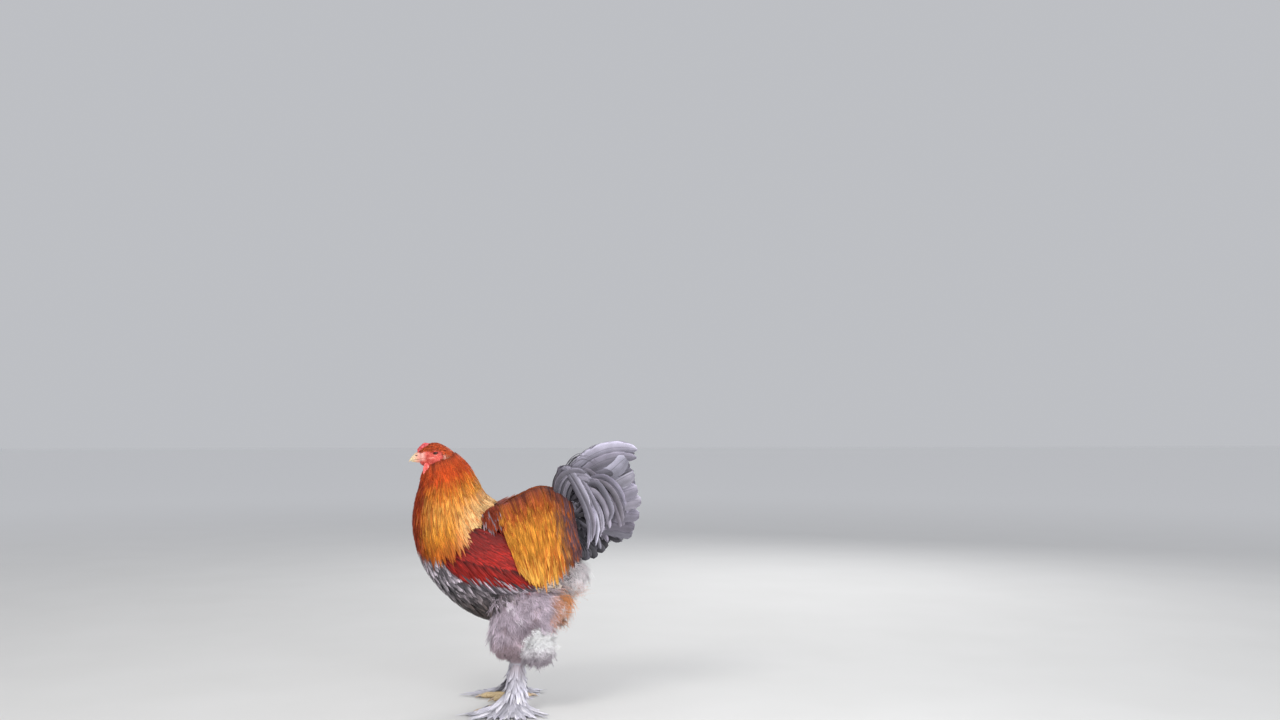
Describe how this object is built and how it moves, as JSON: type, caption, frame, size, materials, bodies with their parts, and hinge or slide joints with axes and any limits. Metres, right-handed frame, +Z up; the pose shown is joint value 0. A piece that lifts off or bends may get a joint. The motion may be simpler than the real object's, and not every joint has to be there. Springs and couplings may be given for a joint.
{
  "type": "brahma chicken (cock)",
  "caption": "Life-size standing brahma cock with a full neck cape, saddle hackles, arched tail, fluffed thighs and feathered feet.",
  "frame": {"origin": "on the ground, under the middle of the bird's whole box", "axes": "+Z up; the bird faces -X; its left side is at -Y"},
  "size_m": [0.5724, 0.3252, 0.6551],
  "materials": {
    "hackle": "glossy gold and rust feathers",
    "saddle": "glossy gold and orange feathers",
    "wing": "silky crimson feathers, grey and buff below",
    "breast": "soft slate feathers with pale edges",
    "tail": "smooth lavender grey feathers",
    "thigh_fluff": "downy lavender fluff",
    "pale_fluff": "downy white fluff",
    "leg_feather": "pale lavender feathers",
    "face": "bare red skin with fine bristles",
    "comb": "moist granular skin",
    "lobe": "soft bare skin",
    "beak": "smooth horn",
    "claw": "smooth horn",
    "eye": "wet and glossy"
  },
  "bodies": {
    "root": {"torso": "breast", "head": "face", "neck": "hackle", "saddle": "saddle", "tail": "tail", "vent_fluff": "pale_fluff", "comb": "comb", "beak_upper": "beak", "beak_lower": "beak", "eye_left": "eye", "eye_right": "eye", "earlobe_left": "lobe", "earlobe_right": "lobe", "wattle_left": "comb", "wattle_right": "comb", "wing_left": "wing", "wing_right": "wing", "thigh_left": "thigh_fluff", "thigh_right": "thigh_fluff", "hock_fluff_left": "pale_fluff", "hock_fluff_right": "pale_fluff", "shank_left": "leg_feather", "shank_right": "leg_feather", "foot_left": "leg_feather", "foot_right": "leg_feather", "claw_inner_left": "claw", "claw_middle_left": "claw", "claw_outer_left": "claw", "claw_hind_left": "claw", "claw_inner_right": "claw", "claw_middle_right": "claw", "claw_outer_right": "claw", "claw_hind_right": "claw"}
  },
  "joints": []
}
